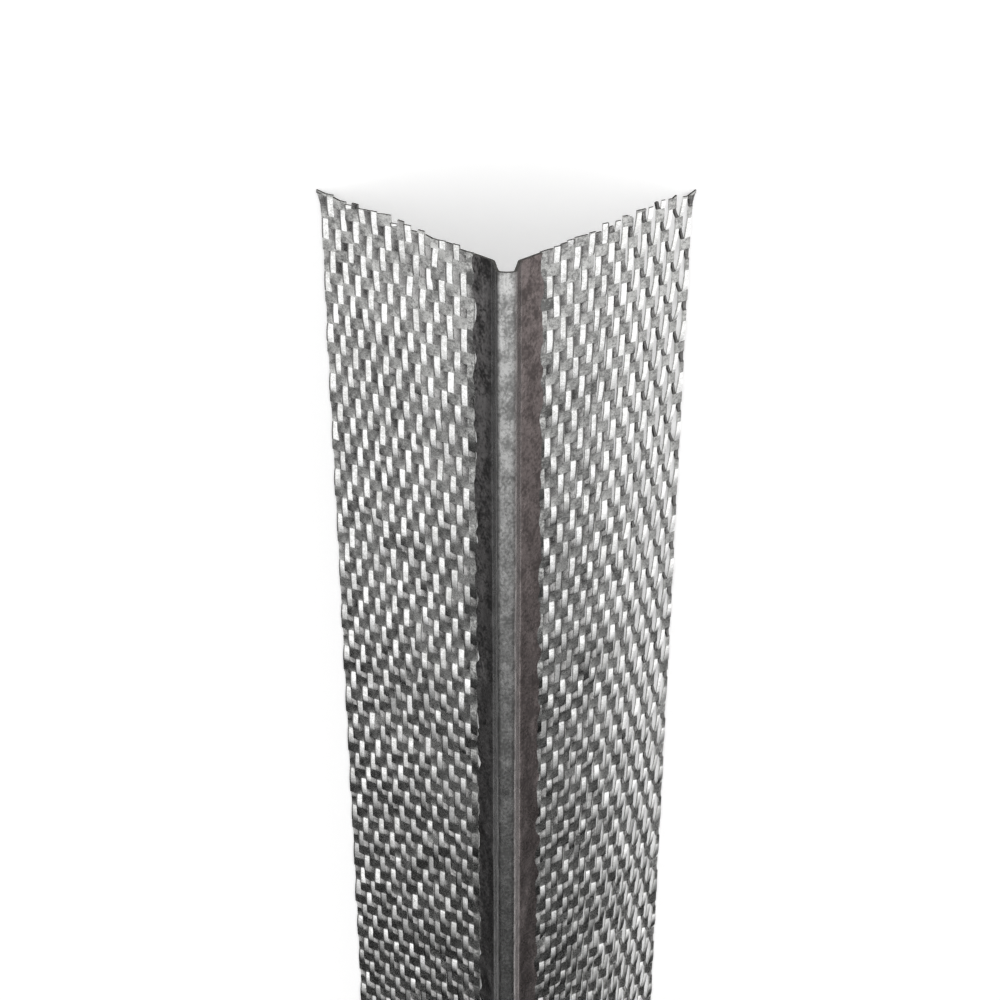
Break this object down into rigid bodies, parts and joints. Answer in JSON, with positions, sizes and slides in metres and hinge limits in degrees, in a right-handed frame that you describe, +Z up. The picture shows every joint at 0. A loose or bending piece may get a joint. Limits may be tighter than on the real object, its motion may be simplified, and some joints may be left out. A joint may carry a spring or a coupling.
{
  "type": "drywall corner bead",
  "caption": "Long galvanised corner bead with a raised rounded nose between two fine expanded-mesh flanges.",
  "frame": {"origin": "on the floor, midway along the stick and under its nose", "axes": "+Y along the stick towards the end that the picture shows, +Z up through the nose, +X across the two flanges"},
  "size_m": [0.0486, 2.438, 0.0263],
  "materials": {
    "galvanised_steel": "hot-dip galvanised, satin"
  },
  "bodies": {
    "root": {"corner_bead": "galvanised_steel"}
  },
  "joints": []
}
